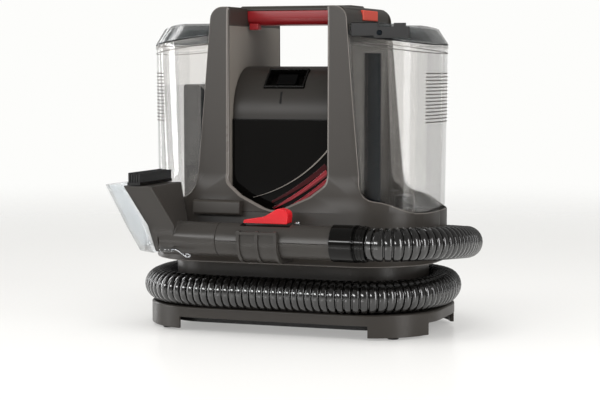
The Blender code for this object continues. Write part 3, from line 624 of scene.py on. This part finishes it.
def shell_outline(height):
    """Length, depth and corner radius of the outside at a height."""
    for low, high in zip(SHELL_OUTSIDE, SHELL_OUTSIDE[1:]):
        if height <= high[0]:
            share = max(0.0, (height - low[0]) / (high[0] - low[0]))
            return [a + (b - a) * share for a, b in zip(low[1:], high[1:])]
    return SHELL_OUTSIDE[-1][1:]


def edge_share(middle):
    """An edge's share of the chamfer: all round the window, some on the outside, none elsewhere."""
    x, y, z = abs(middle.x / MM), abs((middle.y - MACHINE_Y) / MM), middle.z / MM
    length, depth, radius = shell_outline(z)
    over_x, over_y = x - (length / 2 - radius), y - (depth / 2 - radius)
    beyond = math.hypot(max(over_x, 0), max(over_y, 0)) + min(max(over_x, over_y), 0) - radius
    if beyond < -NEAR_SURFACE or y < SEAM_HALF:
        return 0.0
    if x < WINDOW_HALF and z > WINDOW_BOTTOM:
        return 1.0 if z < WINDOW_TOP else 0.0
    return SMALL_SHARE


print("chamfer", CHAMFER, "mm round the window,", round(CHAMFER * SMALL_SHARE, 2), "mm elsewhere")

# %% The front and rear shells
for node in ("front_shell", "rear_shell"):
    piece = bench_copy(node, flatten=0.0)
    # the bevel's faces get the paler grey, a painted highlight
    piece.data.materials.append(painted_highlight_chamfer_abs)
    soften_more(piece, CHAMFER * MM, edge_share)
    bevelled = [face.material_index for face in piece.data.polygons]
    pieces[node] = finish(piece, BODY_OF[node], casing_abs, "grey_abs", node)
    piece.data.materials.append(painted_highlight_chamfer_abs)
    piece.data.polygons.foreach_set("material_index", bevelled)
print("shells", [len(pieces[node].data.polygons) for node in ("front_shell", "rear_shell")])

# %% [markdown]
# ## Grip ribs on the tanks
# Each tank has fifteen low ribs moulded round its end, where the fingers hold it. They follow the
# tank's own surface, so a rib starts as a thin slice of the tank: two cuts leave a ring, the part
# by the arm is deleted, and the ring is swollen a little. One rib is made and the rest are copies.
# The ribs of the left tank stop short of its back.

# %% Fifteen ribs on each tank
RIBS, RIB_SPACING, LOWEST_RIB, RIB_HEIGHT, RIB_DEPTH = 15, 3.7, 226.0, 1.3, 0.5
RIB_REACH = {1: 152.6, -1: 138.0}  # ribs start this far out on the right tank and on the left
LEFT_RIB_END = -4.0
TANK_TAPER = 0.04  # the tank widens by this much from one rib to the next


def tank_ribs(side, tank, body):
    """The ribs of the right tank (side 1) or the left tank (side -1)."""
    rib = bench_copy(tank, flatten=0.0)
    for height, upper in ((LOWEST_RIB, False), (LOWEST_RIB + RIB_HEIGHT, True)):
        pick_all(rib)
        bpy.ops.mesh.bisect(
            plane_co=(0, 0, height * MM), plane_no=(0, 0, 1), clear_inner=not upper, clear_outer=upper
        )
    pick_all(rib)
    bpy.ops.mesh.bisect(
        plane_co=(side * RIB_REACH[side] * MM, 0, 0), plane_no=(side, 0, 0),
        clear_inner=True, clear_outer=False,
    )
    if side < 0:
        pick_all(rib)
        bpy.ops.mesh.bisect(plane_co=(0, LEFT_RIB_END * MM, 0), plane_no=(0, 1, 0), clear_outer=True)
    # What is left is the wall's outside and inside. The inside goes, by the way that its faces look.
    hub = Vector((side * 100 * MM, MACHINE_Y, 0))
    pick(rib, lambda middle, normal: normal.xy.dot((middle - hub).xy) < 0)
    bpy.ops.mesh.delete(type="FACE")
    alone(rib)
    apply_modifier(rib, "SOLIDIFY", thickness=RIB_DEPTH * MM, offset=1.0)
    apply_modifier(
        rib, "ARRAY", count=RIBS, use_relative_offset=False, use_constant_offset=True,
        constant_offset_displace=(side * TANK_TAPER * MM, 0, RIB_SPACING * MM),
    )
    rib.name = rib.data.name = f"{tank}_ribs"
    return finish(rib, body, rib_san, "clear_plastic")


for side, tank in ((1, "clean_tank"), (-1, "dirty_tank")):
    made = tank_ribs(side, tank, BODY_OF[tank])
    print(made.name, len(made.data.polygons), "faces", [round(x / MM, 1) for x in made.dimensions])

# %% [markdown]
# ## Seals and baffles of the lids
# Where lid and tank meet there is a dark seal, with a clear band and a thin line below it, and under
# each smoked lid is a second skin, the splash baffle. A seal or band is a slice of the lid's or the
# tank's own wall between two planes that slope as the rim does. A baffle is the lid's shell drawn
# in, so that its edges show through the lid as lines.

# %% Slices of a sloping rim
RIM_START, RIM_INNER, RIM_FALL = 77.3 * MM, 319.0 * MM, 11.0 / 81.2  # the rim's inner end, and its slope


def rim_slice(name, node, low, high, swell):
    """The part of a tank or lid between two heights above its sloping rim, swollen outwards."""
    piece = bench_copy(node, flatten=0.0)
    piece.name = piece.data.name = name
    side = 1 if piece.data.vertices[0].co.x > 0 else -1
    for height, upper in ((low, False), (high, True)):
        pick_all(piece)
        bpy.ops.mesh.bisect(
            plane_co=(side * RIM_START, 0, RIM_INNER + height * MM), plane_no=(side * RIM_FALL, 0, 1),
            clear_inner=not upper, clear_outer=upper, use_fill=False,
        )
    hub = Vector((side * 115 * MM, MACHINE_Y, 0))
    pick(piece, lambda middle, normal: normal.xy.dot((middle - hub).xy) < 0)
    bpy.ops.mesh.delete(type="FACE")
    alone(piece)
    apply_modifier(piece, "SOLIDIFY", thickness=swell * MM, offset=1.0)
    return piece


# %% Seals, bands and baffles
# (node's ending, from and to above the rim, how much it stands out, material, slot)
RIM_BANDS = (
    ("tank_lid", 0.5, 1.7, 0.7, satin_black, "black_plastic"),  # the seal
    ("tank", -3.4, -0.4, 0.9, tank_san, "clear_plastic"),  # the clear band
    ("tank", -8.6, -7.6, 0.4, rib_san, "clear_plastic"),  # the thin line
)
BAFFLE_SHARE, BAFFLE_DROP, BAFFLE_EDGE = (0.84, 0.86, 0.62), 2.0, 1.0
number = 0
for ending, low, high, swell, material, slot in RIM_BANDS:
    for water in ("clean", "dirty"):
        node = f"{water}_{ending}"
        band = rim_slice(f"{water}_rim_band_{number}", node, low, high, swell)
        finish(band, BODY_OF[node], material, slot)
        number += 1
for node in ("clean_tank_lid", "dirty_tank_lid"):
    baffle = bench_copy(node)
    baffle.name = baffle.data.name = f"{node}_baffle"
    low, high = [Vector(corner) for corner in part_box(node)]
    pick_all(baffle)
    bpy.ops.transform.resize(value=BAFFLE_SHARE, center_override=(low + high) / 2)
    bpy.ops.transform.translate(value=(0, 0, -BAFFLE_DROP * MM))
    soften(baffle, BAFFLE_EDGE * MM, 2)
    finish(baffle, BODY_OF[node], lid_san, "smoked_clear")
print(number, "bands and two baffles")

# %% [markdown]
# ## Plain shapes to start from
# Small pieces are cut from plain stock: a box between two corners, or a rod about an axis. Both are
# placed in the machine's own millimetres, and both are only a start, shaped further in each step.

# %% Boxes, rods, copies and joints
def start_cube(name, low, high):
    """A box between two corners, in machine millimetres, as the start of a piece."""
    alone(camera)
    middle = [(a + b) / 2 * MM for a, b in zip(low, high)]
    middle[1] += MACHINE_Y
    bpy.ops.mesh.primitive_cube_add(size=1, location=middle)
    piece = bpy.context.object
    piece.name = piece.data.name = name
    piece.scale = [(b - a) * MM for a, b in zip(low, high)]
    bpy.ops.object.transform_apply(location=True, rotation=True, scale=True)
    return piece


def start_rod(name, middle, radius, length, axis="X", sides=32):
    """A cylinder about an axis, in machine millimetres, as the start of a piece."""
    alone(camera)
    turn = {"X": (0, math.pi / 2, 0), "Y": (math.pi / 2, 0, 0), "Z": (0, 0, 0)}[axis]
    place = [middle[0] * MM, middle[1] * MM + MACHINE_Y, middle[2] * MM]
    bpy.ops.mesh.primitive_cylinder_add(
        vertices=sides, radius=radius * MM, depth=length * MM, location=place, rotation=turn
    )
    piece = bpy.context.object
    piece.name = piece.data.name = name
    bpy.ops.object.transform_apply(location=True, rotation=True, scale=True)
    return piece


def join(*pieces):
    """Make one object of several; the first gives it its name."""
    alone(pieces[0])
    for piece in pieces[1:]:
        piece.select_set(True)
    bpy.ops.object.join()
    return pieces[0]


def copy_of(piece, x=0.0, y=0.0, z=0.0):
    """A copy with its own mesh, moved by millimetres."""
    alone(piece)
    bpy.ops.object.duplicate()
    bpy.ops.transform.translate(value=(x * MM, y * MM, z * MM))
    bpy.ops.object.transform_apply(location=True, rotation=True, scale=True)
    return bpy.context.object


def move_by(x=0.0, y=0.0, z=0.0):
    """Move what is selected in edit mode, in millimetres."""
    bpy.ops.transform.translate(value=(x * MM, y * MM, z * MM))


print("stock:", start_cube.__name__, "and", start_rod.__name__)

# %% [markdown]
# ## Small fittings
# A few small features give the front its character: the red tab under the grip, a black box of
# painted shade in the slot below the switch, the upper and lower bands of the streak, and the spout
# with its wire clip on the tool.

# %% The red tab and the slot
tab = start_cube("grip_tab", (-53.5, -25.4, 326.0), (-43.0, -15.0, 333.0))
soften(tab, 0.8 * MM, 3)
finish(tab, BODY_OF["handle_grip"], grip_red, "red_grip")

# a black box fills the slot below the switch: painted shade
slot = start_cube("painted_slot_shade", (-2.8, -67.3, 246.0), (-0.4, -62.0, 259.0))
pick(slot, lambda middle, normal: normal.z > 0.9)
move_by(y=4.6)
soften(slot, 0.4 * MM, 2)
finish(slot, BODY_OF["pod_cover"], satin_black, "black_plastic")

print("tab and slot", [round(x / MM, 1) for x in (*tab.dimensions, *slot.dimensions)])

# %% [markdown]
# The streak's outer bands run beside its middle one, so each is a copy of it, moved and set a
# quarter of a millimetre deeper.

# %% The streak's outer bands
for name, (x, z), material in (
    ("upper_streak", (-1.5, 6.5), dark_streak), ("lower_streak", (4.0, -6.5), streak_red),
):
    streak = copy_of(pieces["red_trim"], x=x, y=0.25, z=z)
    release(streak, name)
    finish(streak, BODY_OF["red_trim"], material, "bright_red")
    print(name, len(streak.data.polygons), "faces")

# %% [markdown]
# The spray spout is a rod whose tip is drawn in and pulled out. The clip is a bent wire: a curve
# through eight points, given a round section and made a mesh.

# %% The spout and its clip
SPOUT_Y = -142.0
CLIP_Y, CLIP_RADIUS = -142.4, 1.0
CLIP_POINTS = (  # (X, Z) along the wire
    (-96, 92.6), (-92, 94.0), (-87, 91.6), (-82, 87.4), (-77, 84.8), (-73.5, 86.6), (-76, 89.6), (-79, 88.6),
)
spout = start_rod("tool_spout", (-103.0, SPOUT_Y, 92.5), 2.6, 15.0, "X", 20)
pick(spout, lambda middle, normal: normal.x > 0.9)
bpy.ops.transform.resize(value=(1, 0.7, 0.7))
bpy.ops.mesh.extrude_region_move(TRANSFORM_OT_translate={"value": (3 * MM, 0, 0)})
soften(spout, 0.3 * MM, 2)
finish(spout, BODY_OF["nozzle_body"], nozzle_san, "clear_plastic")

alone(camera)
bpy.ops.curve.primitive_nurbs_path_add(location=(0, 0, 0))
clip = bpy.context.object
clip.name = "spout_clip"
spline = clip.data.splines[0]
spline.points.add(len(CLIP_POINTS) - len(spline.points))
for point, (x, z) in zip(spline.points, CLIP_POINTS):
    point.co = (x * MM, CLIP_Y * MM + MACHINE_Y, z * MM, 1)
clip.data.bevel_depth, clip.data.bevel_resolution, clip.data.use_fill_caps = CLIP_RADIUS * MM, 3, True
alone(clip)
bpy.ops.object.convert(target="MESH")
clip = bpy.context.object
bpy.ops.object.shade_smooth_by_angle(angle=math.radians(40))
finish(clip, BODY_OF["nozzle_body"], plated_steel, "motor_steel")
print("clip", [round(x / MM, 1) for x in clip.dimensions])

# %% [markdown]
# ## The tool's hook
# The hook that holds the hand tool is a thin curved plate with three ribs and a bar along its top,
# which keep it stiff. A rib is the plate's own shape made narrow and swollen outwards.

# %% Three ribs and a bar on the hook
HOOK_LEFT, HOOK_RIGHT, HOOK_RIB, RIB_SWELL = -21.0, 24.0, 3.4, 1.9
RIB_INSET = 0.2  # the outer ribs stand this far in from the plate's ends


def narrow_slice(name, left, right, thicker):
    """The part of the hook between two places along X, swollen by so many millimetres."""
    piece = bench_copy("wand_hook", flatten=0.0)
    piece.name = piece.data.name = name
    pick_all(piece)
    bpy.ops.mesh.bisect(plane_co=(left * MM, 0, 0), plane_no=(1, 0, 0), clear_inner=True, use_fill=True)
    pick_all(piece)
    bpy.ops.mesh.bisect(plane_co=(right * MM, 0, 0), plane_no=(1, 0, 0), clear_outer=True, use_fill=True)
    pick_all(piece)
    bpy.ops.mesh.normals_make_consistent(inside=False)
    pick(piece, lambda middle, normal: abs(normal.x) < 0.5)
    bpy.ops.transform.shrink_fatten(value=thicker * MM)
    alone(piece)
    return piece


ribs = [
    narrow_slice("hook_ribs", left, left + HOOK_RIB, RIB_SWELL)
    for left in (
        HOOK_LEFT + RIB_INSET, (HOOK_LEFT + HOOK_RIGHT - HOOK_RIB) / 2, HOOK_RIGHT - HOOK_RIB - RIB_INSET,
    )
]
bar = start_cube("hook_bar", (HOOK_LEFT + 0.1, -147.9, 111.8), (HOOK_RIGHT - 0.1, -142.6, 114.8))
hook_ribs = join(*ribs, bar)
soften(hook_ribs, 0.7 * MM, 2)
finish(hook_ribs, BODY_OF["wand_hook"], tool_abs, "grey_abs")
print("hook ribs", len(hook_ribs.data.polygons), "faces")

# %% [markdown]
# ## Brush
# The brush across the mouth is rows of nylon tufts in a strip. At this size each tuft reads as one
# dark wedge, so a tuft is a seven-sided rod whose tip is pinched flat. An array repeats it along the
# mouth, and each of the five rows has its own height, which gives the brush its ragged top.

# %% Bristle tufts
BRUSH_LOW, BRUSH_TOP = 161.6, 174.6
ROW_SHORTER = (0.0, 1.1, 0.3, 1.6, 0.5)  # how far each row stays below the brush's top
TUFT_PITCH, ROW_PITCH, TUFT_RADIUS, TUFTS = 2.72, 2.8, 1.3, 30
TIP_PINCH = (1.15, 0.45, 1.0)
strip = start_cube("nozzle_brush_piece", (-136.3, -164.8, BRUSH_LOW), (-121.7, -83.2, BRUSH_LOW + 3))
rows = []
for row, shorter in enumerate(ROW_SHORTER):
    height = BRUSH_TOP - BRUSH_LOW - shorter
    place = (-134.6 + ROW_PITCH * row, -163.0, BRUSH_LOW + height / 2)
    tuft = start_rod(f"tuft_{row}", place, TUFT_RADIUS, height, "Z", 7)
    top = (BRUSH_LOW + height) * MM - 0.1 * MM
    pick(tuft, lambda point, _: point.z > top, "VERT")
    bpy.ops.transform.resize(value=TIP_PINCH)
    alone(tuft)
    apply_modifier(
        tuft, "ARRAY", count=TUFTS - row % 2, use_relative_offset=False, use_constant_offset=True,
        constant_offset_displace=(0, TUFT_PITCH * MM, 0),
    )
    rows.append(tuft)
brush = join(strip, *rows)
alone(brush)
bpy.ops.object.shade_smooth_by_angle(angle=math.radians(40))
finish(brush, BODY_OF["nozzle_brush"], bristle_nylon, "bristle", "nozzle_brush")
print("brush", len(brush.data.polygons), "faces")

# %% [markdown]
# ## Rings on the hose's cuff
# The cuff that joins the hose to the tool has raised rings at its hose end. Each is a short turned
# ring: a cylinder whose two faces are inset and pushed in, with a round over its edges.

# %% Cuff rings
RINGS, RING_WIDTH, RING_WALL = ((104.6, 19.4), (108.2, 19.0), (112.0, 19.2)), 2.0, 3.0  # (X, radius)
rings = []
for place, radius in RINGS:
    ring = start_rod("cuff_rings", (place, TOOL_Y, HOSE_HIGH), radius, RING_WIDTH, "X", 48)
    pick(ring, lambda middle, normal: abs(normal.x) > 0.9)
    bpy.ops.mesh.inset(thickness=RING_WALL * MM, use_individual=True)
    bpy.ops.transform.resize(value=(0.6, 1, 1))
    alone(ring)
    rings.append(ring)
cuff_rings = join(*rings)
soften(cuff_rings, 0.5 * MM, 3)
finish(cuff_rings, BODY_OF["hose_collar"], polished_black, "gloss_black")
print("cuff rings", len(cuff_rings.data.polygons), "faces")

# %% [markdown]
# ## Floor
# A white disc that fades out at its edge stands in for a seamless paper sweep, and it has no wall
# that would show from another side. It glows a little, which keeps it white under the machine.

# %% Floor
bpy.context.scene.view_settings.view_transform = "Standard"
FLOOR_RADIUS, FADE_FROM, FADE_TO, FLOOR_GLOW = 2.6, 0.7, 2.5, 0.31


FIBRE_MM = 4  # the paper's fibre, drawn coarser than it is so that it shows in the gloss


def paper_floor():
    """Matt white paper under a thin gloss, which fades to nothing near the disc's edge."""
    material, shader, links = new_material("glossy_white_paper")
    place = add_node(material, "ShaderNodeTexCoord").outputs["Object"]
    fibre = add_node(
        material, "ShaderNodeTexNoise", {"Vector": place, "Scale": 1 / (FIBRE_MM * MM), "Detail": 2.0}
    )
    distance = add_node(material, "ShaderNodeVectorMath", {0: place}, operation="LENGTH")
    fade = add_node(
        material, "ShaderNodeMapRange",
        {"Value": distance.outputs["Value"], "From Min": FADE_FROM, "From Max": FADE_TO,
         "To Min": 1.0, "To Max": 0.0},
        interpolation_type="SMOOTHSTEP",
    )
    gloss = add_node(
        material, "ShaderNodeMapRange", {"Value": fibre.outputs["Fac"], "To Min": 0.16, "To Max": 0.22}
    )
    links.new(fade.outputs["Result"], shader.inputs["Alpha"])
    links.new(gloss.outputs["Result"], shader.inputs["Roughness"])
    shader.inputs["Base Color"].default_value = colour("f4f3f1")
    shader.inputs["Specular IOR Level"].default_value = 0.8
    shader.inputs["Emission Color"].default_value = colour("fffefc")
    shader.inputs["Emission Strength"].default_value = FLOOR_GLOW
    return material


alone(camera)
bpy.ops.mesh.primitive_circle_add(
    vertices=96, radius=FLOOR_RADIUS, fill_type="NGON", location=(0, 0, -0.2 * MM)
)
floor = bpy.context.object
floor.name = "studio_floor"
floor.data.materials.append(paper_floor())
print("floor", FLOOR_RADIUS, "m across its radius")

# %% [markdown]
# ## World
# A studio's white surroundings are bright to look at, but lit by them alone the dark plastics would
# turn grey. So the world is full white where the eye sees it, also through clear plastic, and
# weaker as light, and weaker still in reflections.

# %% World
LIGHT_LEVEL, GLOSS_LEVEL = 0.62, 0.28  # the world's strength for soft light and for reflections
world = bpy.data.worlds.new("studio")
bpy.context.scene.world = world
world.use_nodes = True
background = world.node_tree.nodes["Background"]
background.inputs["Color"].default_value = colour("fdfdfb")
path = add_node(world, "ShaderNodeLightPath")
seen = add_node(
    world, "ShaderNodeMath",
    {0: path.outputs["Is Camera Ray"], 1: path.outputs["Is Transmission Ray"]}, operation="MAXIMUM",
)
soft = add_node(
    world, "ShaderNodeMath",
    {0: path.outputs["Is Diffuse Ray"], 1: LIGHT_LEVEL - GLOSS_LEVEL, 2: GLOSS_LEVEL},
    operation="MULTIPLY_ADD",
)
strength = add_node(
    world, "ShaderNodeMath", {0: seen.outputs["Value"], 1: soft.outputs["Value"]}, operation="MAXIMUM"
)
world.node_tree.links.new(strength.outputs["Value"], background.inputs["Strength"])
print("world", LIGHT_LEVEL, "as light,", GLOSS_LEVEL, "in reflections")

# %% [markdown]
# ## Lights
# Three soft boxes light the machine and don't show in its surfaces. Four reflectors do the opposite:
# they give no light, but draw the long highlights down the tanks and along the hose and the tool.
# With the two jobs apart, each highlight can be set without changing how bright the plastic is.

# %% A soft box or a reflector
def soft_box(name, place, target, size, power, reflected=True, lights=True):
    """A large rectangular light that faces its target, as a reflection, as light, or both."""
    alone(camera)
    bpy.ops.object.light_add(type="AREA", location=place)
    light = bpy.context.object
    light.name = name
    light.data.shape, light.data.size, light.data.size_y = "RECTANGLE", size[0], size[1]
    light.data.energy = power
    light.visible_glossy, light.visible_diffuse, light.visible_transmission = reflected, lights, False
    light.rotation_euler = (Vector(target) - Vector(place)).to_track_quat("-Z", "Y").to_euler()
    return light


# %% Lights
middle = (0, MACHINE_Y, 0.17)
soft_box("overhead_soft_box", (0.1, -0.7, 1.8), middle, (1.4, 1.0), 17, reflected=False)
soft_box("left_fill", (-1.6, -1.2, 0.9), middle, (0.8, 1.2), 7, reflected=False)
soft_box("right_fill", (1.8, -0.8, 0.8), middle, (0.8, 1.2), 12, reflected=False)
soft_box("left_reflector", (-1.45, -0.40, 0.5), (0, MACHINE_Y, 0.2), (0.5, 1.5), 11, lights=False)
soft_box("left_rear_reflector", (-1.5, 0.75, 0.5), (0, MACHINE_Y, 0.2), (0.3, 1.3), 7, lights=False)
soft_box("front_strip", (-0.65, -1.75, 0.62), (0, MACHINE_Y, 0.06), (1.6, 0.2), 18, lights=False)
soft_box("right_reflector", (1.6, -0.6, 0.5), (0, MACHINE_Y, 0.2), (0.45, 1.3), 16, lights=False)
